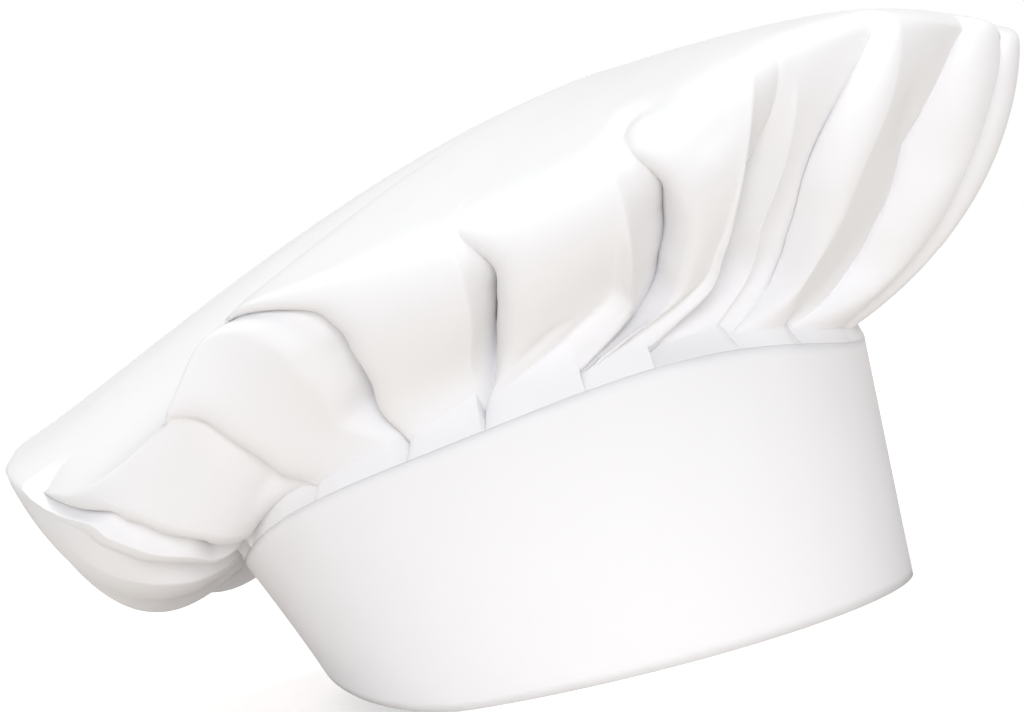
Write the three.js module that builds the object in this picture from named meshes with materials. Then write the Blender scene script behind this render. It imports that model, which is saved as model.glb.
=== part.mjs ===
// Floppy chef hat: a round cloth crown, knife pleated into a stiff band that closes at the back.
// Millimetres, +Z up, front of the hat towards +X. The hat stands on the rim of its band.
import * as THREE from "three";

// Cloth and clearances
const CROWN_WALL = 1.6;
const BAND_WALL = 2.0;
const PATCH_WALL = 1.2;
const GAP = 0.3;

// The band is an oval that opens slightly from the rim to the seam
const RIM = { middle: -1, half_length: 97.5, half_width: 86 };
const SEAM = { middle: -8, half_length: 107.5, half_width: 93 };
const RIM_LIFT = 19;
const RIM_LIFT_FROM = 105;
const SEAM_MEAN = 74.2;
const SEAM_WAVES = [14.1, -8.3, -0.4, -2.1];
const BAND_STEP = 3.5;
const BAND_ROWS = 4;

// The ends of the band lap at the back, the outer end over the inner one
const LAP_INNER_END = -211;
const LAP_OUTER_END = 175;
const LAP_RISE_FROM = 125;
const LAP_RISE_TO = 145;
const LAP_STEP = PATCH_WALL + 2 * GAP + BAND_WALL;
const LAP_TOP_CUT = 9;
const PATCH_FROM = 153;
const PATCH_TO = 171;
const PATCH_LOW = 0.15;
const PATCH_HIGH = 0.62;

// The crown's hem goes down inside the band and its pleats leave the seam in small lit wedges
const HEM_DEPTH = 8;
const WEDGE_LOW = 2;
const WEDGE_LEAN = 0.5;

// The crown's shoulder is a longer oval, and its top rises to one high point
const SHOULDER = { middle: -9, half_length: 176, half_width: 119 };
const TOP = new THREE.Vector3(45, 0, 180.5);
const TOP_START = 0.12;
const TOP_LEVEL = 0.62;
const TOP_LEVEL_HEIGHT = 0.97;

// How the crown puffs out round the hat. turn: degrees from the front, left turn positive.
// reach: past the shoulder oval. height: of the shoulder. out, rise: how the side leaves the seam.
// over, drop: how the side comes up to the shoulder. dome: how the top leaves the shoulder.
const PUFF = table("turn reach height out rise over drop dome", [
  [-180, 0, 110, 25, -18, -20, 76, 6],
  [-161, 5, 103, 25, -20, -20, 72, 6],
  [-134, 6, 92, 14, -6, -3, 38, 7],
  [-119, 3, 106, 8, 8, 4, 22, 8],
  [-110, 0, 131, 7, 14, 8, 26, 5],
  [-99, 0, 136, 6, 16, 7, 28, 6],
  [-84, 0, 141, 6, 16, 7, 30, 7],
  [-68, 0, 150, 6, 16, 7, 32, 8],
  [-50, 0, 166, 7, 17, 4, 40, 8],
  [-32, 0, 170, 17, 15, 0, 38, 9],
  [-18, 1, 165, 28, 14, -6, 36, 11],
  [0, 3, 159, 36, 14, -9, 36, 10],
  [18, 1, 165, 28, 14, -6, 36, 11],
  [34, 0, 169, 17, 15, 0, 38, 9],
  [52, 0, 165, 7, 17, 4, 40, 8],
  [72, 0, 152, 6, 16, 7, 34, 8],
  [90, 0, 142, 6, 16, 7, 30, 7],
  [106, 1, 130, 7, 14, 8, 26, 6],
  [122, 2, 109, 8, 6, 6, 24, 7],
  [140, 4, 95, 16, -7, 0, 40, 7],
  [160, 5, 98, 25, -20, -15, 76, 6],
]);

// The fold lines, in order round the hat from the back: the turns of each pleat's ridge, and of the valley
// past it, at the seam and at every fifth of the way up to the shoulder
const RIDGES = [
  [-173, -173, -172, -172, -173, -176],
  [-158, -156, -151, -149, -151, -159],
  [-142, -143.5, -138.8, -134.7, -133.7, -144],
  [-137, -132.9, -128.9, -126.7, -126.7, -132.6],
  [-103.5, -104.8, -103, -101.6, -102.2, -111],
  [-86.3, -85.4, -84.3, -83.3, -83.1, -84],
  [-69.3, -61.4, -63.2, -65.1, -66.4, -67.5],
  [-57.3, -45.7, -49, -51.6, -52.3, -50.5],
  [-43, -37.5, -38.5, -41.5, -43.5, -44],
  [-29.5, -31.8, -31.6, -33.8, -32.5, -30],
  [-10.5, -9, -9.5, -9.9, -10.6, -8],
  [-1, 0, 0, 1, 2, 6],
  [11, 12, 14, 16, 18, 20],
  [26, 28, 31, 33, 35, 36],
  [42, 44, 47, 49, 50, 51],
  [59, 61, 64, 65, 65, 66],
  [76, 78, 80, 81, 81, 82],
  [93, 95, 96, 97, 97, 98],
  [110, 111, 112, 113, 114, 115],
  [127, 129, 130, 132, 133, 134],
  [143, 146, 148, 150, 152, 154],
  [158, 161, 164, 166, 167, 168],
];
const VALLEYS = [
  [-168, -166, -161, -158, -161, -170],
  [-153, -148, -143, -141, -142, -152],
  [-139, -141.3, -136.7, -132.6, -131.6, -142.5],
  [-119, -120.7, -118.1, -116.5, -116.7, -118.8],
  [-99.5, -102.1, -100.7, -99.2, -99.1, -107.9],
  [-86, -82.3, -80.7, -80.6, -81.3, -83.7],
  [-69, -55.1, -54.5, -58.4, -63.2, -67],
  [-57, -42, -40.5, -43, -46.5, -49.5],
  [-41, -34.3, -36.1, -39.1, -38.7, -32.4],
  [-27, -14.4, -15.4, -16.6, -18.3, -14.7],
  [-9, -6, -5.5, -6, -5, 1],
  [1, 5, 6, 7, 8, 9],
  [12, 16, 19, 21, 22, 22],
  [27, 32, 36, 38, 39, 37],
  [43, 48, 52, 54, 54, 52],
  [60, 66, 69, 70, 69, 67],
  [77, 82, 85, 86, 85, 83],
  [94, 98, 100, 101, 100, 99],
  [111, 114, 116, 117, 117, 116],
  [128, 132, 134, 136, 136, 135],
  [144, 148, 151, 153, 154, 155],
  [160, 164, 167, 169, 170, 169],
];
const NARROWEST_FACE = 1;

// The same pleats. wedge: how high the wedge at its foot stands. low, high, top: how deep the valley lies
// at a third, at two thirds and at the shoulder. sunk: how far the ridge itself lies in. lean: under 1 the
// face up to the ridge is full, over 1 it is hollow. back: over 1 the face down to the valley is full.
const PLEATS = table("wedge low high top sunk lean back", [
  [3, 8, 8, 2, 0, 0.6, 1],
  [3, 8, 6, 1, 0, 0.6, 1],
  [3, 9, 9, 4, 0, 0.6, 1],
  [3, 9, 8, 6, 0, 0.6, 1],
  [6, 13, 12, 5, 0, 0.15, 1.6],
  [10, 13, 14, 4, 0, 0.15, 1.3],
  [14, 17, 17, 5, 0, 0.2, 1.2],
  [9, 16, 16, 6, 0, 0.25, 1],
  [5, 15, 14, 8, 11, 1, 0.7],
  [4, 14, 14, 7, 0, 1, 1],
  [3, 12, 12, 6, 0, 1, 1],
  [3, 10, 10, 4, 0, 1, 1],
  [3, 12, 12, 4, 0, 1, 1],
  [6, 15, 15, 4, 0, 0.7, 1],
  [10, 16, 16, 4, 0, 0.5, 1],
  [13, 16, 16, 4, 0, 0.4, 1],
  [9, 16, 15, 4, 0, 0.4, 1],
  [11, 15, 14, 4, 0, 0.4, 1],
  [8, 13, 12, 3, 0, 0.4, 1],
  [5, 12, 10, 2, 0, 0.5, 1],
  [3, 12, 10, 2, 0, 0.6, 1],
  [3, 10, 8, 2, 0, 0.6, 1],
]);

// Where the crown is cut into faces: across each pleat, up its side and over its top.
// Across, 0 to 1 is the face up to the ridge and 1 to 2 the face past it.
// Up, 0 is the seam and 1 the shoulder.
const ACROSS = [0, 0.12, 0.34, 0.7, 1, 1.5];
const UP = [0, 0.1, 0.22, 0.36, 0.5, 0.64, 0.78, 0.9, 1, 1.12, 1.32, 1.56, 1.8];
const FOLD_FULL_FROM = 0.3;
const FOLD_AT_SEAM = 0.14;
const STEEPEST = 0.5;

const UPWARD = new THREE.Vector3(0, 0, 1);

function table(names, rows) {
  const columns = names.split(" ");
  return rows.map((row) => Object.fromEntries(columns.map((name, i) => [name, row[i]])));
}

function radians(degrees) {
  return (degrees * Math.PI) / 180;
}

function smoothstep(x) {
  const t = Math.min(Math.max(x, 0), 1);
  return t * t * (3 - 2 * t);
}

// A column of PUFF at any turn, on a smooth closed curve through its rows
function puff(column, turn) {
  const n = PUFF.length;
  const a = ((((turn + 180) % 360) + 360) % 360) - 180;
  let i = n - 1;
  while (i > 0 && PUFF[i].turn > a) i -= 1;
  const row = (k) => PUFF[(k + n) % n];
  const span = (k) => (row(k + 1).turn - row(k).turn + 360) % 360;
  const slope = (k) => (row(k + 1)[column] - row(k - 1)[column]) / (span(k) + span(k - 1));
  const t = (a - row(i).turn) / span(i);
  const from = row(i)[column];
  const to = row(i + 1)[column];
  const ends = from * (1 + 2 * t) * (1 - t) ** 2 + to * t * t * (3 - 2 * t);
  return ends + span(i) * t * (1 - t) * (slope(i) * (1 - t) - slope(i + 1) * t);
}

function seamHeight(turn) {
  const waves = SEAM_WAVES.map((size, k) => size * Math.cos(radians((k + 1) * turn)));
  return SEAM_MEAN + waves.reduce((sum, wave) => sum + wave, 0);
}

function rimHeight(turn) {
  const away = Math.abs(((((turn + 180) % 360) + 360) % 360) - 180);
  return RIM_LIFT * smoothstep((away - RIM_LIFT_FROM) / (180 - RIM_LIFT_FROM));
}

function onOval(oval, turn, height) {
  const a = radians(turn);
  const x = oval.middle + oval.half_length * Math.cos(a);
  const y = oval.half_width * Math.sin(a);
  return new THREE.Vector3(x, y, height);
}

// The level direction that points out of an oval
function outward(oval, turn) {
  const a = radians(turn);
  return new THREE.Vector3(Math.cos(a) / oval.half_length, Math.sin(a) / oval.half_width, 0).normalize();
}

// A point on the band, share up from the rim to the seam and offset outwards from its outer face
function onBand(turn, share, offset) {
  const low = onOval(RIM, turn, rimHeight(turn));
  const high = onOval(SEAM, turn, seamHeight(turn));
  return low.lerp(high, share).addScaledVector(outward(SEAM, turn), offset);
}

function bezier(p0, p1, p2, p3, t) {
  const point = p0.clone().multiplyScalar((1 - t) ** 3);
  point.addScaledVector(p1, 3 * t * (1 - t) ** 2);
  point.addScaledVector(p2, 3 * t * t * (1 - t));
  return point.addScaledVector(p3, t ** 3);
}

// The crown's form without its pleats, up from 0 at the seam to 1 at the shoulder and 2 at the top
function form(turn, up, wedge) {
  const out = outward(SHOULDER, turn);
  const end = onOval(SHOULDER, turn, puff("height", turn)).addScaledVector(out, puff("reach", turn));
  if (up <= 1) {
    const start = onOval(SEAM, turn, seamHeight(turn) + GAP + WEDGE_LOW + wedge);
    start.addScaledVector(out, -WEDGE_LEAN * wedge);
    const leave = start.clone().addScaledVector(out, puff("out", turn));
    leave.addScaledVector(UPWARD, puff("rise", turn));
    const arrive = end.clone().addScaledVector(out, puff("over", turn));
    arrive.addScaledVector(UPWARD, -puff("drop", turn));
    return bezier(start, leave, arrive, end, up);
  }
  const leave = end.clone().lerp(TOP, TOP_START).setZ(end.z + puff("dome", turn));
  const level = end.clone().lerp(TOP, TOP_LEVEL).setZ(end.z + (TOP.z - end.z) * TOP_LEVEL_HEIGHT);
  return bezier(end, leave, level, TOP, up - 1);
}

// The direction in which the crown's folds go in and out: out of its form, and more level than steep
function foldDirection(turn, up, wedge) {
  const step = 0.01;
  const along = form(turn + step, up, wedge).sub(form(turn - step, up, wedge));
  const low = Math.max(up - step, 0);
  const high = Math.min(up + step, 2);
  const climb = form(turn, high, wedge).sub(form(turn, low, wedge));
  const normal = along.cross(climb).normalize();
  return normal.setZ(normal.z / 2).normalize();
}

// The turn of a ridge or a valley at any height, on a smooth curve through its six turns
function lineTurn(lines, index, up) {
  const turns = lines[index % lines.length];
  const last = turns.length - 1;
  const x = last * Math.min(up, 1);
  const k = Math.min(Math.floor(x), last - 1);
  const t = x - k;
  const slope = (i) => {
    const low = Math.max(i - 1, 0);
    const high = Math.min(i + 1, last);
    return (turns[high] - turns[low]) / (high - low);
  };
  const ends = turns[k] * (1 + 2 * t) * (1 - t) ** 2 + turns[k + 1] * t * t * (3 - 2 * t);
  const bend = t * (1 - t) * (slope(k) * (1 - t) - slope(k + 1) * t);
  return ends + bend + 360 * Math.floor(index / lines.length);
}

// How deep a valley lies: little at the seam, most up the side, and gone past the shoulder
function valleyDepth(pleat, up) {
  const side = Math.min(up, 1);
  const rise = FOLD_AT_SEAM + (1 - FOLD_AT_SEAM) * smoothstep(side / FOLD_FULL_FROM);
  const high = pleat.low + (pleat.high - pleat.low) * smoothstep((side - 0.33) / 0.33);
  const depth = rise * (high + (pleat.top - high) * smoothstep((side - 0.62) / 0.38));
  return depth * (1 - smoothstep((up - 1) / 0.25));
}

// One point of the pleated crown: its place, and the direction in which it was folded
function onCrown(index, across, up) {
  const near = PLEATS[index % PLEATS.length];
  const far = PLEATS[(index + 1) % PLEATS.length];
  const start = lineTurn(VALLEYS, index, up);
  const ridge = Math.max(lineTurn(RIDGES, index + 1, up), start + NARROWEST_FACE);
  const end = Math.max(lineTurn(VALLEYS, index + 1, up), ridge + NARROWEST_FACE);
  const deep = valleyDepth(far, up);
  const crest = (deep * far.sunk) / far.low;
  const past = across - 1;
  let turn = ridge + (end - ridge) * past;
  let hollow = crest + (deep - crest) * Math.max(past, 0) ** far.back;
  let wedge = far.wedge * (1 - past);
  if (across <= 1) {
    turn = start + (ridge - start) * across;
    const rise = far.lean > 1 ? across ** far.lean : 1 - (1 - across) ** (1 / far.lean);
    hollow = valleyDepth(near, up) * (1 - rise) + crest * rise;
    wedge = far.wedge * across;
  }
  const direction = foldDirection(turn, up, wedge);
  const place = form(turn, up, wedge).addScaledVector(direction, -hollow);
  return { turn, place, direction };
}

// Shifts each point of a closed ring of columns inwards, further where the wall is steep
function innerWall(columns) {
  const n = columns.length;
  const last = columns[0].length - 1;
  return columns.map((column, i) =>
    column.map(({ place, direction }, k) => {
      const along = columns[(i + 1) % n][k].place.clone().sub(columns[(i + n - 1) % n][k].place);
      const climb = column[Math.min(k + 1, last)].place.clone().sub(column[Math.max(k - 1, 0)].place);
      const facing = Math.max(along.cross(climb).normalize().dot(direction), STEEPEST);
      return place.clone().addScaledVector(direction, -CROWN_WALL / facing);
    }),
  );
}

// A body from a loop of columns of points, each column one closed section of the wall.
// Without wrap the first and the last column are closed by flat ends.
function sweptBody(sections, wrap) {
  const height = sections[0].length;
  const positions = sections.flat().flatMap((p) => [p.x, p.y, p.z]);
  const faces = [];
  const at = (i, k) => (i % sections.length) * height + (k % height);
  const spans = wrap ? sections.length : sections.length - 1;
  for (let i = 0; i < spans; i += 1) {
    for (let k = 0; k < height; k += 1) {
      faces.push(at(i, k), at(i + 1, k), at(i + 1, k + 1));
      faces.push(at(i, k), at(i + 1, k + 1), at(i, k + 1));
    }
  }
  if (!wrap) {
    const rows = height / 2;
    const end = sections.length - 1;
    for (let k = 0; k < rows - 1; k += 1) {
      const across = height - 1 - k;
      faces.push(at(0, k), at(0, k + 1), at(0, across - 1));
      faces.push(at(0, k), at(0, across - 1), at(0, across));
      faces.push(at(end, k + 1), at(end, k), at(end, across));
      faces.push(at(end, k + 1), at(end, across), at(end, across - 1));
    }
  }
  return geometry(positions, faces);
}

function geometry(positions, faces) {
  const result = new THREE.BufferGeometry();
  result.setAttribute("position", new THREE.Float32BufferAttribute(positions, 3));
  result.setIndex(faces);
  result.computeVertexNormals();
  return result;
}

// A strip of the band between two turns and two heights. offset gives its outer face, wall its thickness.
function bandStrip(turns, rows, wall, offset, cut) {
  const sections = turns.map((turn) => {
    const highest = 1 - cut(turn) / (seamHeight(turn) - rimHeight(turn));
    const shares = rows.map((share) => Math.min(share, highest));
    const outer = shares.map((share) => onBand(turn, share, offset(turn)));
    const inner = shares.map((share) => onBand(turn, share, offset(turn) - wall));
    return [...outer, ...inner.reverse()];
  });
  return sweptBody(sections, false);
}

function spread(from, to, count) {
  return Array.from({ length: count + 1 }, (_, i) => from + ((to - from) * i) / count);
}

function bandGeometry() {
  const steps = Math.round((LAP_OUTER_END - LAP_INNER_END) / BAND_STEP);
  const turns = spread(LAP_INNER_END, LAP_OUTER_END, steps);
  const lap = (turn) => smoothstep((turn - LAP_RISE_FROM) / (LAP_RISE_TO - LAP_RISE_FROM));
  const offset = (turn) => LAP_STEP * lap(turn);
  const cut = (turn) => LAP_TOP_CUT * lap(turn);
  return bandStrip(turns, spread(0, 1, BAND_ROWS), BAND_WALL, offset, cut);
}

function patchGeometry() {
  const turns = spread(PATCH_FROM, PATCH_TO, Math.round((PATCH_TO - PATCH_FROM) / BAND_STEP));
  const rows = spread(PATCH_LOW, PATCH_HIGH, 2);
  return bandStrip(turns, rows, PATCH_WALL, () => GAP + PATCH_WALL, () => 0);
}

function crownGeometry() {
  const columns = PLEATS.flatMap((_, index) =>
    ACROSS.map((across) => UP.map((up) => onCrown(index, across, up))),
  );
  const inner = innerWall(columns);
  const sections = columns.map((column, i) => {
    const turn = column[0].turn;
    const height = seamHeight(turn) - rimHeight(turn);
    const hem = (share, inwards) => onBand(turn, share, -BAND_WALL - GAP - inwards);
    const foot = hem(1 - HEM_DEPTH / height, 0);
    const under = hem(1, 0).addScaledVector(UPWARD, GAP);
    const edge = onBand(turn, 1, 0).addScaledVector(UPWARD, GAP);
    const lining = hem(1, CROWN_WALL).addScaledVector(UPWARD, GAP + CROWN_WALL);
    const back = hem(1 - HEM_DEPTH / height, CROWN_WALL);
    return [foot, under, edge, ...column.map(({ place }) => place), ...inner[i].reverse(), lining, back];
  });
  return closedCrown(sections, UP.length + 3);
}

// Joins the sections round the hat and closes the top with one fan outside and one inside
function closedCrown(sections, outerCount) {
  const height = sections[0].length;
  const positions = sections.flat().flatMap((p) => [p.x, p.y, p.z]);
  const faces = [];
  const n = sections.length;
  const at = (i, k) => (i % n) * height + (k % height);
  for (let i = 0; i < n; i += 1) {
    for (let k = 0; k < height; k += 1) {
      if (k === outerCount - 1) continue;
      faces.push(at(i, k), at(i + 1, k), at(i + 1, k + 1));
      faces.push(at(i, k), at(i + 1, k + 1), at(i, k + 1));
    }
  }
  const outerTop = n * height;
  positions.push(TOP.x, TOP.y, TOP.z, TOP.x, TOP.y, TOP.z - CROWN_WALL);
  for (let i = 0; i < n; i += 1) {
    faces.push(at(i, outerCount - 1), at(i + 1, outerCount - 1), outerTop);
    faces.push(at(i + 1, outerCount), at(i, outerCount), outerTop + 1);
  }
  return geometry(positions, faces);
}

function piece(name, shape, colour, roughness) {
  const material = new THREE.MeshStandardMaterial({ color: colour, roughness, metalness: 0 });
  const mesh = new THREE.Mesh(shape, material);
  mesh.name = name;
  return mesh;
}

const hat = new THREE.Group();
hat.name = "chef_hat";
hat.add(piece("crown", crownGeometry(), 0xf4f3f1, 0.9));
hat.add(piece("band", bandGeometry(), 0xf2f1f3, 0.85));
hat.add(piece("closure_patch", patchGeometry(), 0xeceae6, 0.95));

// The origin is under the middle of the hat's outline, on what it stands on
const outline = new THREE.Box3().setFromObject(hat);
hat.position.set(-(outline.min.x + outline.max.x) / 2, -(outline.min.y + outline.max.y) / 2, -outline.min.z);

export default hat;
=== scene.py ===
"""A floppy chef hat of white cotton: a round crown, knife pleated into a stiff band, resting on its band.

Shapes are worked out in millimetres with the front of the hat towards +X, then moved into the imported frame.
"""
import math

import bpy
import numpy as np
from mathutils import Matrix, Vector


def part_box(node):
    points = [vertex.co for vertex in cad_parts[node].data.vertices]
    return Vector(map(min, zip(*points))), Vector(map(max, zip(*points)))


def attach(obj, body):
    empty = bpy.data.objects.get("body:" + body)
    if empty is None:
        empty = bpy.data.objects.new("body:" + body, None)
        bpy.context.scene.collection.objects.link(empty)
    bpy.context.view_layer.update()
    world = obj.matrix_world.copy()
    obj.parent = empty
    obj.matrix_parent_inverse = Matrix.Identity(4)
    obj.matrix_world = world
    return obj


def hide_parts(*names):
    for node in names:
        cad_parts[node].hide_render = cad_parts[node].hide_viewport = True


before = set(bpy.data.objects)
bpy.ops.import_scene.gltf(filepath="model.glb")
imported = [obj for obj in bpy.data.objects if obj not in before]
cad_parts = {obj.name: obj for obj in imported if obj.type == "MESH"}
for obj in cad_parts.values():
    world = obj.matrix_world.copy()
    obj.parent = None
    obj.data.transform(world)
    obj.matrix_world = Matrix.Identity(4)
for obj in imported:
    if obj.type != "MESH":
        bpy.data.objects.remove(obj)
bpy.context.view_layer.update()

MM = 0.001

# The band is an oval that opens slightly from the rim to the seam
RIM = dict(middle=-1.0, half_length=97.5, half_width=86.0)
SEAM = dict(middle=-8.0, half_length=107.5, half_width=93.0)
RIM_LIFT = 19.0
RIM_LIFT_FROM = 105.0
SEAM_MEAN = 74.2
SEAM_WAVES = (14.1, -8.3, -0.4, -2.1)

# Cloth and clearances
TWILL = 0.5
BAND_WALL = 2.0
PATCH_WALL = 1.2
GAP = 0.3
SEAM_GAP = 0.04

# The ends of the band lap at the back, the outer end over the inner one
LAP_INNER_END = -211.0
LAP_OUTER_END = 175.0
LAP_RISE_FROM = 125.0
LAP_RISE_TO = 145.0
LAP_STEP = PATCH_WALL + 2 * GAP + BAND_WALL
LAP_TOP_CUT = 9.0
BAND_COLUMNS = 387
BAND_ROWS = 25

# The patch lies between them, from one turn to another and from one share of the band's height to another
PATCH_FROM = 153.0
PATCH_TO = 171.0
PATCH_LOW = 0.15
PATCH_HIGH = 0.62
PATCH_COLUMNS = 25
PATCH_ROWS = 13

# The crown's hem goes down inside the band, and its pleats leave the seam in small raised wedges, each of
# which rises from one valley to the next. The steps are where a wedge is cut across, close to both ends, so
# that it is shaded as a plane.
HEM_DEPTH = 8.0
WEDGE_LOW = 2.0
WEDGE_LEAN = 0.5
WEDGE_STEPS = (0, 0.05, 0.5, 0.95)
WEDGE_START = 0.4
WEDGE_PEAK = 0.94

# The crown's shoulder is a longer oval, and its top rises to one high point. TOP_START and TOP_LEVEL say how
# far along it the handles of its curve lie, and TOP_LEVEL_HEIGHT how high the second one is.
SHOULDER = dict(middle=-9.0, half_length=176.0, half_width=119.0)
TOP = np.array([45.0, 0.0, 180.5])
TOP_START = 0.12
TOP_LEVEL = 0.62
TOP_LEVEL_HEIGHT = 0.97

# How deep the folds are up the side, as shares of its height and of their full depth: a part of it at the
# seam, full from FOLD_FULL_FROM, changing from low to high over HIGH_FROM to HIGH_TO, then drawing near the
# shoulder's depth from TOP_FROM on, and gone PAST_SHOULDER beyond it
FOLD_AT_SEAM = 0.36
FOLD_FULL_FROM = 0.27
HIGH_FROM = 0.33
HIGH_TO = 0.66
TOP_FROM = 0.62
PAST_SHOULDER = 0.14

# A fold goes more level than steep, so the upright part of its direction is halved
FOLD_LEVEL = np.array([1, 1, 0.5])

# A lapped edge turns in over the first EDGE_TURN of the face that starts with it, and the lap dies out over
# LAP_REACH of that face
EDGE_TURN = 0.008
LAP_REACH = 0.35
NARROWEST_FACE = 0.3


def table(names, rows):
    """A short table with named columns."""
    return dict(zip(names.split(), np.array(rows, float).T))


# How the crown puffs out round the hat. turn: degrees from the front, left turn positive.
# reach: past the shoulder oval. height: of the shoulder. out, rise: how the side leaves the seam.
# over, drop: how the side comes up to the shoulder. dome: how the top leaves the shoulder.
# soft: how far the shoulder is rounded off.
PUFF = table("turn reach height out rise over drop dome soft", [
    [-180, 0, 110, 25, -18, -20, 76, 6, 0.05],
    [-161, 5, 103, 25, -20, -20, 72, 6, 0.05],
    [-134, 6, 92, 14, -6, -3, 38, 7, 0.05],
    [-119, 3, 106, 8, 8, 1, 22, 8, 0.05],
    [-110, 0, 131, 7, 14, 2, 26, 5, 0.05],
    [-99, 0, 136, 6, 16, 3, 28, 6, 0.1],
    [-84, 0, 141, 6, 16, 7, 30, 7, 0.8],
    [-68, 0, 150, 6, 16, 7, 32, 8, 1],
    [-50, 0, 166, 7, 17, 4, 40, 8, 1],
    [-32, 0, 170, 17, 15, 0, 38, 9, 0.4],
    [-18, 1, 165, 28, 14, -6, 36, 11, 0.2],
    [0, 3, 159, 36, 14, -9, 36, 10, 0.15],
    [18, 1, 165, 28, 14, -6, 36, 11, 0.2],
    [34, 0, 169, 17, 15, 0, 38, 9, 0.4],
    [52, 0, 165, 7, 17, 4, 40, 8, 1],
    [72, 0, 152, 6, 16, 7, 34, 8, 1],
    [90, 0, 142, 6, 16, 7, 30, 7, 0.8],
    [106, 1, 130, 7, 14, 8, 26, 6, 0.4],
    [122, 2, 109, 8, 6, 6, 24, 7, 0.1],
    [140, 4, 95, 16, -7, 0, 40, 7, 0.1],
    [160, 5, 98, 25, -20, -15, 76, 6, 0.05],
])

# The fold lines, in order round the hat from the back: the turns of each pleat's ridge, and of the valley
# past it, at these shares of the way up from the seam to the shoulder
LINE_UP = np.array([0, 0.2, 0.4, 0.6, 0.8, 0.92, 1])
RIDGES = np.array([
    [-173, -170, -166, -163, -163, -166, -177],
    [-160, -151, -145, -142, -142, -145, -158],
    [-149, -143.5, -136, -133, -132.8, -136, -149],
    [-143, -134.6, -129.6, -127.2, -126.9, -129, -131.5],
    [-104, -108.4, -105.8, -104.6, -104.9, -108.2, -113],
    [-86.8, -85.7, -84.1, -83.3, -83.2, -83.6, -84.2],
    [-69.3, -61.5, -62.8, -64.8, -66.3, -67, -67.3],
    [-57.3, -48.2, -49.2, -51.2, -52, -51.4, -50.4],
    [-43, -38.3, -41.2, -43, -44.6, -45, -45],
    [-29.5, -30.6, -31.2, -32.9, -32, -31.2, -30.5],
    [-10.5, -9.7, -9.6, -10.6, -10.4, -9.8, -11],
    [-1, 0, 0, 1, 2, 3.8, 6],
    [11, 12, 14, 16, 18, 19, 20],
    [26, 28, 31, 33, 35, 35.6, 36],
    [42, 44, 47, 49, 50, 50.5, 51],
    [59, 61, 64, 65, 65, 65.4, 66],
    [76, 78, 80, 81, 81, 81.4, 82],
    [93, 95, 96, 97, 97, 97.4, 98],
    [110, 111, 112, 113, 114, 114.5, 115],
    [127, 129, 130, 132, 133, 133.5, 134],
    [143, 146, 148, 150, 152, 153, 154],
    [158, 161, 164, 166, 167, 167.5, 168],
], float)
VALLEYS = np.array([
    [-168, -164, -158, -155, -155, -158, -170],
    [-155, -147, -140, -136.5, -136, -139, -153],
    [-146, -140.5, -132.7, -130, -129.7, -133, -146],
    [-120, -120.1, -116.8, -115.1, -115.1, -116.6, -118.1],
    [-100, -101.3, -98.6, -97.3, -97.6, -101, -110],
    [-86, -81.3, -79.9, -79.6, -80.2, -82.2, -84],
    [-69, -54.2, -54, -56.4, -60.6, -64, -66],
    [-57, -43.6, -44.6, -46.3, -47.6, -47.6, -47],
    [-41, -33, -34.8, -37.6, -37, -34.4, -32],
    [-27, -15.5, -17, -18, -18.5, -17, -14.7],
    [-9, -5.3, -5.2, -5.7, -5.2, -4.4, -1.6],
    [1, 5, 6, 7, 8, 8.5, 9],
    [12, 16, 19, 21, 22, 22.1, 22],
    [27, 32, 36, 38, 39, 38.2, 37],
    [43, 48, 52, 54, 54, 53.1, 52],
    [60, 66, 69, 70, 69, 68.1, 67],
    [77, 82, 85, 86, 85, 84.1, 83],
    [94, 98, 100, 101, 100, 99.5, 99],
    [111, 114, 116, 117, 117, 116.6, 116],
    [128, 132, 134, 136, 136, 135.6, 135],
    [144, 148, 151, 153, 154, 154.5, 155],
    [160, 164, 167, 169, 170, 169.6, 169],
], float)

# The same pleats. wedge: how high the wedge at its foot stands. low, high, top: how deep the valley lies at a
# third, at two thirds and at the shoulder. sunk: how far the ridge itself lies in. lean: under 1 the face up
# to the ridge is full, over 1 it is hollow. back: over 1 the face down to the valley is full. lap: how far
# the next face's edge laps back over the valley, in degrees.
PLEATS = table("wedge low high top sunk lean back lap", [
    [3, 5, 3, 0, 0, 0.6, 1, 0],
    [3, 8, 3, 0, 0, 0.5, 1, 0.5],
    [3, 9, 9, 6, 0, 0.4, 1, 0.8],
    [3, 9, 8, 2, 0, 0.3, 1, 1.2],
    [6, 23, 24, 5, 0, 0.05, 2.2, 2.2],
    [10, 21, 21, 2, 0, 0.05, 0.9, 1.5],
    [14, 21, 21, 2, 0, 0.05, 0.75, 2.2],
    [9, 21, 21, 3, 0, 0.05, 0.7, 0],
    [5, 15, 14, 8, 10, 1.4, 0.7, 1.2],
    [4, 14, 14, 7, 0, 0.3, 1, 1],
    [3, 12, 12, 6, 0, 0.3, 1, 0.8],
    [3, 10, 10, 4, 0, 0.3, 1, 0.8],
    [3, 12, 12, 4, 0, 0.3, 1, 1.2],
    [6, 15, 15, 4, 0, 0.2, 1, 1.8],
    [10, 16, 16, 4, 0, 0.15, 1, 2],
    [13, 16, 16, 4, 0, 0.1, 1, 2],
    [9, 16, 15, 4, 0, 0.1, 1, 2],
    [11, 15, 14, 4, 0, 0.1, 1, 1.8],
    [8, 13, 12, 3, 0, 0.1, 1, 1.5],
    [5, 12, 10, 2, 0, 0.2, 1, 1],
    [3, 12, 10, 2, 0, 0.4, 1, 0.5],
    [3, 10, 8, 2, 0, 0.6, 1, 0],
])
PLEAT_COUNT = len(PLEATS["wedge"])

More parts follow.
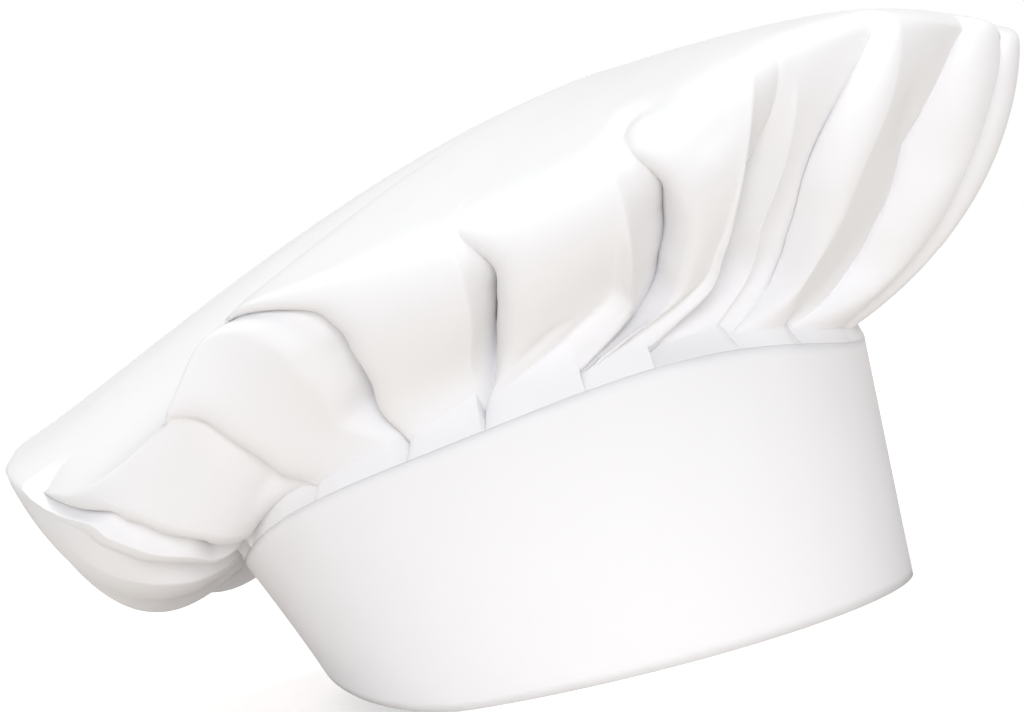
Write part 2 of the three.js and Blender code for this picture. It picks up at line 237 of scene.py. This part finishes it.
# Soft creases and dents beside the pleats: a run from one turn and height to another, how far it lies in and
# how wide it is, in millimetres
CREASES = table("turn up to_turn to_up depth wide", [
    [-67.2, 1.0, -66.5, 1.15, 2.5, 3],
    [-66.5, 1.15, -65, 1.25, 2.5, 3],
    [-65, 1.25, -62, 1.22, 2.5, 3],
    [-62, 1.22, -59.5, 1.04, 2.5, 3],
    [-59, 0.98, -57, 0.88, 2, 7],
    [-78, 0.12, -72, 0.2, 1.5, 5],
    [-25, 0.75, -16, 0.6, 2.5, 7],
])

# Where the crown is cut into faces. Across, 0 to 1 is the face up to a ridge and 1 to 2 the face past it, cut
# closer towards their ends. Up, 0 is the seam, 1 the shoulder and 2 the high point.
NEAR_FACE = 0.5 - 0.5 * np.cos(np.linspace(0, math.pi, 19))
FAR_FACE = 1.5 - 0.5 * np.cos(np.linspace(0, math.pi, 9))[1:-1]
ACROSS = np.concatenate([NEAR_FACE, FAR_FACE])
SIDE_ROWS = np.linspace(0, 1, 52)
TOP_ROWS = 1 + np.linspace(0, 1, 25)[1:-1] ** 1.2
UP = np.concatenate([SIDE_ROWS, TOP_ROWS])

# Roughly how much cloth a degree of turn, the side and the top's outer part take, in millimetres
TURN_MM = 2.3
SIDE_MM = 95
TOP_MM = 60

# A valley ends in a tight groove, a share of its depth deep and this wide in millimetres
GROOVE = 0.1
GROOVE_WIDE = 1.6

# How often the points are drawn towards their neighbours, across the ridges and, near SHOULDER_AT, over the
# shoulder
RIDGE_ROUNDING = 2
SHOULDER_ROUNDING = 30
SHOULDER_AT = 1.02
SHOULDER_REACH = 0.2


def smoothstep(x):
    t = np.clip(x, 0, 1)
    return t * t * (3 - 2 * t)


def turned(turn):
    """The same turn, from -180 to 180 degrees."""
    return np.mod(turn + 180, 360) - 180


def puff(column, turn):
    """A column of PUFF at any turn, on a smooth closed curve through its rows."""
    x = PUFF["turn"]
    y = PUFF[column]
    n = len(x)
    a = turned(turn)
    i = np.searchsorted(x, a, side="right") - 1
    j = (i + 1) % n
    span = np.append(np.diff(x), x[0] + 360 - x[-1])
    slope = (np.roll(y, -1) - np.roll(y, 1)) / (span + np.roll(span, 1))
    t = (a - x[i]) / span[i]
    ends = y[i] * (1 + 2 * t) * (1 - t) ** 2 + y[j] * t * t * (3 - 2 * t)
    return ends + span[i] * t * (1 - t) * (slope[i] * (1 - t) - slope[j] * t)


def seam_height(turn):
    a = np.radians(turn)
    return SEAM_MEAN + sum(size * np.cos((k + 1) * a) for k, size in enumerate(SEAM_WAVES))


def rim_height(turn):
    return RIM_LIFT * smoothstep((np.abs(turned(turn)) - RIM_LIFT_FROM) / (180 - RIM_LIFT_FROM))


def points(x, y, z):
    return np.stack(np.broadcast_arrays(x, y, z), -1).astype(float)


def on_oval(oval, turn, height):
    a = np.radians(turn)
    return points(oval["middle"] + oval["half_length"] * np.cos(a), oval["half_width"] * np.sin(a), height)


def unit(vectors):
    return vectors / np.maximum(np.linalg.norm(vectors, axis=-1, keepdims=True), 1e-9)


def outward(oval, turn):
    """The level direction that points out of an oval."""
    a = np.radians(turn)
    return unit(points(np.cos(a) / oval["half_length"], np.sin(a) / oval["half_width"], 0 * a))


def on_band(turn, share, offset):
    """Points on the band, share up from the rim to the seam and offset outwards from its outer face."""
    low = on_oval(RIM, turn, rim_height(turn))
    high = on_oval(SEAM, turn, seam_height(turn))
    share = np.asarray(share)[..., None]
    return low + (high - low) * share + outward(SEAM, turn) * np.asarray(offset)[..., None]


def bezier(p0, p1, p2, p3, t):
    t = t[..., None]
    return p0 * (1 - t) ** 3 + 3 * p1 * t * (1 - t) ** 2 + 3 * p2 * t * t * (1 - t) + p3 * t ** 3


def raised(places, by):
    return places + points(0 * by, 0 * by, by)


def form(turn, up, wedge):
    """The crown's form without its pleats, up from 0 at the seam to 1 at the shoulder and 2 at the top."""
    wedge = np.asarray(wedge, float)
    out = outward(SHOULDER, turn)
    height = puff("height", turn)
    end = on_oval(SHOULDER, turn, height) + out * puff("reach", turn)[..., None]
    foot = seam_height(turn) + SEAM_GAP + WEDGE_LOW + wedge
    start = on_oval(SEAM, turn, foot) - out * (WEDGE_LEAN * wedge)[..., None]
    leave = raised(start + out * puff("out", turn)[..., None], puff("rise", turn))
    arrive = raised(end + out * puff("over", turn)[..., None], -puff("drop", turn))
    side = bezier(start, leave, arrive, end, np.clip(up, 0, 1))
    over = end + (TOP - end) * TOP_START
    over[..., 2] = height + puff("dome", turn)
    level = end + (TOP - end) * TOP_LEVEL
    level[..., 2] = height + (TOP[2] - height) * TOP_LEVEL_HEIGHT
    top = bezier(end, over, level, np.broadcast_to(TOP, end.shape), np.clip(up - 1, 0, 1))
    return np.where(up[..., None] <= 1, side, top)


def fold_direction(turn, up, wedge):
    """The direction in which the folds go in and out: out of the form, and more level than steep."""
    step = 0.01
    along = form(turn + step, up, wedge) - form(turn - step, up, wedge)
    climb = form(turn, np.minimum(up + step, 2), wedge) - form(turn, np.maximum(up - step, 0), wedge)
    return unit(unit(np.cross(along, climb)) * FOLD_LEVEL)


def line_turn(lines, index, up):
    """The turn of a ridge or a valley at any height, on a smooth curve through its turns."""
    turns = lines[index[:, 0] % PLEAT_COUNT]
    slopes = np.gradient(turns, LINE_UP, axis=1)
    x = np.clip(up, 0, 1)
    k = np.clip(np.searchsorted(LINE_UP, x, side="right") - 1, 0, len(LINE_UP) - 2)
    span = LINE_UP[k + 1] - LINE_UP[k]
    t = (x - LINE_UP[k]) / span
    y0, y1 = np.take_along_axis(turns, k, 1), np.take_along_axis(turns, k + 1, 1)
    s0, s1 = np.take_along_axis(slopes, k, 1), np.take_along_axis(slopes, k + 1, 1)
    ends = y0 * (1 + 2 * t) * (1 - t) ** 2 + y1 * t * t * (3 - 2 * t)
    return ends + span * t * (1 - t) * (s0 * (1 - t) - s1 * t) + 360 * (index // PLEAT_COUNT)


def valley_depth(pleat, up):
    """How deep a valley lies: little at the seam, most up the side, and gone past the shoulder."""
    low, high, top = (PLEATS[name][pleat] for name in ("low", "high", "top"))
    side = np.clip(up, 0, 1)
    rise = FOLD_AT_SEAM + (1 - FOLD_AT_SEAM) * smoothstep(side / FOLD_FULL_FROM)
    full = low + (high - low) * smoothstep((side - HIGH_FROM) / (HIGH_TO - HIGH_FROM))
    depth = rise * (full + (top - full) * smoothstep((side - TOP_FROM) / (1 - TOP_FROM)))
    return depth * (1 - smoothstep((up - 1) / PAST_SHOULDER))


def seam_teeth(turn):
    """How high the wedge stands at the seam: nothing in a valley, and all of it just before the next one."""
    valleys = VALLEYS[:, 0]
    a = turned(turn)
    i = np.searchsorted(valleys, a, side="right") - 1
    width = np.append(np.diff(valleys), valleys[0] + 360 - valleys[-1])[i]
    share = np.mod(a - valleys[i], 360) / width
    slope = WEDGE_START + (1 - WEDGE_START) * share / WEDGE_PEAK
    tooth = np.minimum(slope, np.minimum(share, 1 - share) / (1 - WEDGE_PEAK))
    return PLEATS["wedge"][(i + 1) % PLEAT_COUNT] * tooth


def climb(up):
    """Roughly how far up the cloth a height lies, in millimetres."""
    return SIDE_MM * np.minimum(up, 1) + TOP_MM * np.maximum(up - 1, 0)


def crease_depth(turn, up):
    """How far in the creases draw the cloth."""
    total = 0 * turn
    for k in range(len(CREASES["turn"])):
        row = {name: column[k] for name, column in CREASES.items()}
        x = turned(turn - row["turn"]) * TURN_MM
        y = climb(up) - climb(row["up"])
        u = (row["to_turn"] - row["turn"]) * TURN_MM
        v = climb(row["to_up"]) - climb(row["up"])
        share = np.clip((x * u + y * v) / (u * u + v * v), 0, 1)
        away = np.hypot(x - share * u, y - share * v)
        total = np.maximum(total, row["depth"] * np.exp(-(away / row["wide"]) ** 2))
    return total


def blurred_across(places):
    """Each point drawn a quarter of the way to each of its neighbours round the hat."""
    return 0.5 * places + 0.25 * (np.roll(places, 1, 0) + np.roll(places, -1, 0))


def blurred_up(places):
    """The same for its neighbours above and below, apart from the first and the last row."""
    moved = places.copy()
    moved[:, 1:-1] = 0.5 * places[:, 1:-1] + 0.25 * (places[:, 2:] + places[:, :-2])
    return moved


def crown_sheet():
    """The pleated crown's outer face: turns and points, a column for each place across the pleats."""
    index, across = np.meshgrid(np.arange(PLEAT_COUNT), ACROSS, indexing="ij")
    index = index.ravel()[:, None]
    across = across.ravel()[:, None]
    up = np.broadcast_to(UP, (len(index), len(UP))).copy()
    near = index % PLEAT_COUNT
    far = (index + 1) % PLEAT_COUNT
    start = line_turn(VALLEYS, index, up)
    ridge = np.maximum(line_turn(RIDGES, index + 1, up), start + NARROWEST_FACE)
    end = np.maximum(line_turn(VALLEYS, index + 1, up), ridge + NARROWEST_FACE)
    to_ridge = np.minimum(across, 1)
    past = np.maximum(across - 1, 0)
    before = valley_depth(near, up)
    deep = valley_depth(far, up)
    # Across: each face runs from its valley to its ridge or back, and its first edge laps over the valley
    turn = start + (ridge - start) * to_ridge + (end - ridge) * past
    edge = (1 - np.exp(-to_ridge / EDGE_TURN)) * np.exp(-(to_ridge / LAP_REACH) ** 2)
    turn = turn - PLEATS["lap"][near] * edge * before / PLEATS["low"][near]
    # In and out: from the valley's depth to the ridge's, with a groove along the valley
    lean = PLEATS["lean"][far]
    rise = np.where(lean > 1, to_ridge ** lean, 1 - (1 - to_ridge) ** (1 / lean))
    crest = deep * PLEATS["sunk"][far] / PLEATS["low"][far]
    up_face = before * (1 - rise) + crest * rise
    down_face = crest + (deep - crest) * past ** PLEATS["back"][far]
    from_valley = TURN_MM * np.where(across <= 1, to_ridge * (ridge - start), (1 - past) * (end - ridge))
    groove = GROOVE * np.where(across <= 1, before, deep) * np.exp(-(from_valley / GROOVE_WIDE) ** 2)
    hollow = np.where(across <= 1, up_face, down_face) + groove
    wedge = np.broadcast_to(seam_teeth(turn[:, :1]), up.shape)
    direction = fold_direction(turn, up, wedge)
    places = form(turn, up, wedge) - direction * hollow[..., None]
    for _ in range(RIDGE_ROUNDING):
        places = blurred_across(places)
    soft = (smoothstep(1 - np.abs(up - SHOULDER_AT) / SHOULDER_REACH) * puff("soft", turn))[..., None]
    for _ in range(SHOULDER_ROUNDING):
        places = places + soft * (blurred_up(places) - places)
    return turn, places - direction * crease_depth(turn, up)[..., None]


# Blender objects

# From the shapes' own origin to the frame's, found by where the band's front lies in the frame
SHIFT = np.array([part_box("band")[1][0] / MM - (SEAM["middle"] + SEAM["half_length"]), 0, 0])


def new_mesh(name, places, faces):
    mesh = bpy.data.meshes.new(name)
    mesh.from_pydata(((places + SHIFT) * MM).tolist(), [], faces)
    mesh.validate()
    mesh.polygons.foreach_set("use_smooth", [True] * len(mesh.polygons))
    piece = bpy.data.objects.new(name, mesh)
    bpy.context.scene.collection.objects.link(piece)
    return piece


def ring_faces(columns, rows):
    """Quads between neighbouring columns of points, with the last column joined to the first."""
    i = np.arange(columns)[:, None]
    k = np.arange(rows - 1)[None, :]
    j = (i + 1) % columns
    corners = np.stack([i * rows + k, j * rows + k, j * rows + k + 1, i * rows + k + 1], -1)
    return corners.reshape(-1, 4).tolist()


def make_crown():
    """The crown as one sheet, from the hem inside the band, over its edge and up to the high point."""
    turn, outer = crown_sheet()
    seam_turn = turn[:, 0]
    height = seam_height(seam_turn) - rim_height(seam_turn)
    at_seam = np.ones_like(seam_turn)
    inside = -(BAND_WALL + GAP) * at_seam
    foot = on_band(seam_turn, 1 - HEM_DEPTH / height, inside)
    bend = raised(on_band(seam_turn, at_seam, inside), SEAM_GAP * at_seam)
    edge = raised(on_band(seam_turn, at_seam, 0 * at_seam), SEAM_GAP * at_seam)
    wedges = [edge + (outer[:, 0] - edge) * share for share in WEDGE_STEPS]
    columns = np.concatenate([np.stack([foot, bend] + wedges, 1), outer], 1)
    n, rows = columns.shape[:2]
    faces = ring_faces(n, rows)
    last = n * rows
    for i in range(n):
        faces.append((i * rows + rows - 1, ((i + 1) % n) * rows + rows - 1, last))
    places = np.concatenate([columns.reshape(-1, 3), TOP[None]])
    crown = new_mesh("crown_cloth", places, faces)
    wall = crown.modifiers.new("cloth", "SOLIDIFY")
    wall.thickness = TWILL * MM
    wall.offset = -1
    return crown


def strip(name, turns, shares, wall, offset, cut):
    """A strip along the band. offset gives its outer face, and cut says how far its top edge is lowered."""
    height = seam_height(turns) - rim_height(turns)
    top = 1 - cut / height
    around = []
    for share, inwards in section(shares, wall):
        around.append(on_band(turns, np.minimum(share, top), offset - inwards))
    columns = np.stack(around, 1)
    n, rows = columns.shape[:2]
    faces = []
    for i in range(n - 1):
        for k in range(rows):
            m = (k + 1) % rows
            faces.append((i * rows + k, (i + 1) * rows + k, (i + 1) * rows + m, i * rows + m))
    faces.append(tuple(range(rows)))
    faces.append(tuple((n - 1) * rows + k for k in reversed(range(rows))))
    return new_mesh(name, columns.reshape(-1, 3), faces)


def section(shares, wall):
    """Share up the band and depth into it, all round the section of a strip."""
    outer = [(share, 0.0) for share in shares]
    inner = [(share, wall) for share in shares[::-1]]
    return outer + inner


def make_band():
    """The band, whose outer end steps out over the inner one and lies lower, clear of the crown's lobe."""
    turns = np.linspace(LAP_INNER_END, LAP_OUTER_END, BAND_COLUMNS)
    lap = smoothstep((turns - LAP_RISE_FROM) / (LAP_RISE_TO - LAP_RISE_FROM))
    shares = np.linspace(0, 1, BAND_ROWS)
    return strip("band_cloth", turns, shares, BAND_WALL, LAP_STEP * lap, LAP_TOP_CUT * lap)


def make_patch():
    """The hook and loop patch between the lapped ends."""
    turns = np.linspace(PATCH_FROM, PATCH_TO, PATCH_COLUMNS)
    shares = np.linspace(PATCH_LOW, PATCH_HIGH, PATCH_ROWS)
    offset = np.full_like(turns, GAP + PATCH_WALL)
    return strip("hook_and_loop_patch", turns, shares, PATCH_WALL, offset, 0 * turns)


# Materials
TWILL_WHITE = "#F4F3F4"
TWILL_SHADE = "#F1F0F1"
LOOP_WHITE = "#ECEAE4"
LOOP_SHADE = "#E4E1DA"
PAPER = "#EAE4DF"
PAPER_GLOW = 0.6

# Twill's real ribs lie about 0.5 mm apart and loops about 1 mm, too fine to show here, so both are drawn
# coarser, and the twill's very low
TWILL_RIB_MM = 2.7
TWILL_RELIEF_MM = 0.025
LOOP_ROW_MM = 3.2
LOOP_RELIEF_MM = 0.5
CLOUD_MM = 60
DENT_MM = 25
DENT_DEEP_MM = 0.7
FIBRE_MM = 1.2

# At scale 1 a diagonal wave texture has one band in this many millimetres, measured straight across
WAVE_MM_AT_SCALE_1 = 2 * math.pi / (10 * math.sqrt(3)) / MM


def linear(code):
    """An sRGB hex colour as linear red, green, blue and alpha."""
    parts = [int(code[i:i + 2], 16) / 255 for i in (1, 3, 5)]
    return [p / 12.92 if p <= 0.04045 else ((p + 0.055) / 1.055) ** 2.4 for p in parts] + [1.0]


def add_node(tree, kind, settings=None, values=None, links=None):
    """Adds a node with its settings, its own values and what feeds its inputs."""
    node = tree.nodes.new(kind)
    for name, value in (settings or {}).items():
        setattr(node, name, value)
    for name, value in (values or {}).items():
        node.inputs[name].default_value = value
    for name, source in (links or {}).items():
        tree.links.new(source, node.inputs[name])
    return node


def ribbed_cloth(name, colour, shade, rib_mm, relief_mm):
    """Cloth that is matt, with a faint sheen of fibre ends, fine slanting ribs and soft dents."""
    material = bpy.data.materials.new(name)
    material.use_nodes = True
    tree = material.node_tree
    tree.nodes.clear()
    place = {"Vector": add_node(tree, "ShaderNodeTexCoord").outputs["Object"]}
    # Uneven bleaching, in clouds
    clouds = add_node(tree, "ShaderNodeTexNoise", values={
        "Scale": 1 / (CLOUD_MM * MM), "Detail": 3.0, "Roughness": 0.5}, links=place)
    tint = add_node(tree, "ShaderNodeMix", {"data_type": "RGBA"}, links={"Factor": clouds.outputs["Fac"]})
    tint.inputs["A"].default_value = linear(colour)
    tint.inputs["B"].default_value = linear(shade)
    # The ribs of the weave, and loose fibres over them
    ribs = add_node(tree, "ShaderNodeTexWave", {"wave_type": "BANDS", "bands_direction": "DIAGONAL"}, {
        "Scale": WAVE_MM_AT_SCALE_1 / rib_mm, "Distortion": 0.6, "Detail": 1.0}, place)
    fibres = add_node(tree, "ShaderNodeTexNoise", values={
        "Scale": 1 / (FIBRE_MM * MM), "Detail": 2.0}, links=place)
    weave = add_node(tree, "ShaderNodeMath", {"operation": "ADD"},
                     links={0: ribs.outputs["Fac"], 1: fibres.outputs["Fac"]})
    # Soft unevenness from handling and washing
    dents = add_node(tree, "ShaderNodeTexNoise", values={
        "Scale": 1 / (DENT_MM * MM), "Detail": 1.5, "Roughness": 0.45}, links=place)
    uneven = add_node(tree, "ShaderNodeBump", values={"Strength": 1.0, "Distance": DENT_DEEP_MM * MM},
                      links={"Height": dents.outputs["Fac"]})
    bump = add_node(tree, "ShaderNodeBump", values={"Strength": 0.25, "Distance": relief_mm * MM},
                    links={"Height": weave.outputs["Value"], "Normal": uneven.outputs["Normal"]})
    matt = {"Roughness": 0.88, "Sheen Weight": 0.12, "Sheen Roughness": 0.5, "IOR": 1.47,
            "Specular IOR Level": 0.25}
    shader = add_node(tree, "ShaderNodeBsdfPrincipled", values=matt,
                      links={"Base Color": tint.outputs["Result"], "Normal": bump.outputs["Normal"]})
    add_node(tree, "ShaderNodeOutputMaterial", links={"Surface": shader.outputs["BSDF"]})
    return material


def bleached_cotton_twill():
    """Woven cotton, bleached white: the crown's soft cloth, nearly flat in tone."""
    return ribbed_cloth("bleached_cotton_twill", TWILL_WHITE, TWILL_SHADE, TWILL_RIB_MM, TWILL_RELIEF_MM)


def starched_cotton_twill():
    """The same cloth, starched over an interlining: the band's firm, even face."""
    return ribbed_cloth("starched_cotton_twill", TWILL_WHITE, TWILL_SHADE, TWILL_RIB_MM, TWILL_RELIEF_MM)


def nylon_hook_and_loop():
    """Woven nylon with raised loops: a coarser and slightly yellower face."""
    return ribbed_cloth("nylon_hook_and_loop", LOOP_WHITE, LOOP_SHADE, LOOP_ROW_MM, LOOP_RELIEF_MM)


def white_paper():
    """Seamless matt paper. It glows a little for the camera alone, and so runs into the white backdrop."""
    material = bpy.data.materials.new("white_paper")
    material.use_nodes = True
    tree = material.node_tree
    shader = tree.nodes["Principled BSDF"]
    shader.inputs["Base Color"].default_value = linear(PAPER)
    shader.inputs["Emission Color"].default_value = (1, 1, 1, 1)
    shader.inputs["Roughness"].default_value = 1.0
    shader.inputs["Specular IOR Level"].default_value = 0.0
    seen = add_node(tree, "ShaderNodeLightPath")
    glow = add_node(tree, "ShaderNodeMath", {"operation": "MULTIPLY"}, {1: PAPER_GLOW},
                    {0: seen.outputs["Is Camera Ray"]})
    tree.links.new(glow.outputs["Value"], shader.inputs["Emission Strength"])
    return material


# Camera: the photograph's, tilted, from just above the level of the floor
CAMERA_TURN = 15.0
CAMERA_RISE = 2.0
CAMERA_ROLL = 14.0
CAMERA_AWAY = 900.0
FOCAL_PX = 2765.0
PICTURE_WIDE = 1024.0
PICTURE_HIGH = 712.0
SENSOR_MM = 36.0
AIM = np.array([0.0, 0.0, 90.0])
AIM_PX = (557.4, 371.8)


def camera_axes():
    turn, rise, roll = (math.radians(v) for v in (CAMERA_TURN, CAMERA_RISE, CAMERA_ROLL))
    back = np.array([math.sin(turn) * math.cos(rise), -math.cos(turn) * math.cos(rise), math.sin(rise)])
    right = np.array([math.cos(turn), math.sin(turn), 0.0])
    above = np.cross(back, right)
    across = right * math.cos(roll) - above * math.sin(roll)
    upright = above * math.cos(roll) + right * math.sin(roll)
    return across, upright, back


def posed(across, upright, back, place):
    rows = [[across[i], upright[i], back[i], place[i] * MM] for i in range(3)]
    return Matrix(rows + [[0, 0, 0, 1]])


def make_camera():
    across, upright, back = camera_axes()
    data = bpy.data.cameras.new("camera")
    data.sensor_width = SENSOR_MM
    data.lens = FOCAL_PX * SENSOR_MM / PICTURE_WIDE
    data.shift_x = (PICTURE_WIDE / 2 - AIM_PX[0]) / PICTURE_WIDE
    data.shift_y = -(PICTURE_HIGH / 2 - AIM_PX[1]) / PICTURE_WIDE
    data.clip_end = 50
    camera = bpy.data.objects.new("camera", data)
    bpy.context.scene.collection.objects.link(camera)
    camera.matrix_world = posed(across, upright, back, AIM + CAMERA_AWAY * back + SHIFT)
    bpy.context.scene.camera = camera


# The studio: a wide floor, a soft fill from all round, and lamps. For each lamp: where it is, seen from the
# camera (right, up, back towards it), its strength, its colour and how wide it looks in degrees.
FLOOR_HALF = 4000.0
LAMP_AWAY = 1000.0
LAMPS = [
    ("ceiling", (-0.15, 1.0, 0.3), 1.45, (1.0, 1.0, 0.9), 40),
    ("front", (0.0, 0.22, 1.0), 1.44, (0.925, 0.95, 1.0), 25),
    ("window", (-1.0, 0.35, 0.4), 0.12, (0.98, 0.98, 1.0), 12),
]
FILL = (0.925, 0.95, 1.0)
FILL_STRENGTH = 0.4


def make_light():
    across, upright, back = camera_axes()
    for name, (right, above, nearer), strength, colour, wide in LAMPS:
        toward = unit(across * right + upright * above + back * nearer)
        side = unit(np.cross([0, 0, 1], toward))
        data = bpy.data.lights.new(name, "SUN")
        data.energy = strength
        data.color = colour
        data.angle = math.radians(wide)
        lamp = bpy.data.objects.new(name, data)
        bpy.context.scene.collection.objects.link(lamp)
        lamp.matrix_world = posed(side, np.cross(toward, side), toward, toward * LAMP_AWAY)
    world = bpy.data.worlds.new("studio")
    bpy.context.scene.world = world
    world.use_nodes = True
    tree = world.node_tree
    tree.nodes.clear()
    fill = add_node(tree, "ShaderNodeBackground", values={"Color": (*FILL, 1), "Strength": FILL_STRENGTH})
    backdrop = add_node(tree, "ShaderNodeBackground", values={"Color": (1, 1, 1, 1), "Strength": 1.0})
    seen = add_node(tree, "ShaderNodeLightPath")
    both = add_node(tree, "ShaderNodeMixShader", links={"Fac": seen.outputs["Is Camera Ray"]})
    tree.links.new(fill.outputs["Background"], both.inputs[1])
    tree.links.new(backdrop.outputs["Background"], both.inputs[2])
    add_node(tree, "ShaderNodeOutputWorld", links={"Surface": both.outputs["Shader"]})


def make_floor():
    h = FLOOR_HALF
    corners = np.array([[-h, -h, 0], [h, -h, 0], [h, h, 0], [-h, h, 0]])
    floor = new_mesh("floor", corners, [(0, 1, 2, 3)])
    floor.data.materials.append(white_paper())


make_camera()
make_light()
make_floor()

crown = make_crown()
band = make_band()
patch = make_patch()
crown.data.materials.append(bleached_cotton_twill())
band.data.materials.append(starched_cotton_twill())
patch.data.materials.append(nylon_hook_and_loop())

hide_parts("crown")
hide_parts("band")
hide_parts("closure_patch")
for piece, slot in ((crown, "crown_cloth"), (band, "band_cloth"), (patch, "hook_and_loop")):
    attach(piece, "root")

bpy.context.scene.view_settings.view_transform = "Standard"
bpy.context.view_layer.update()
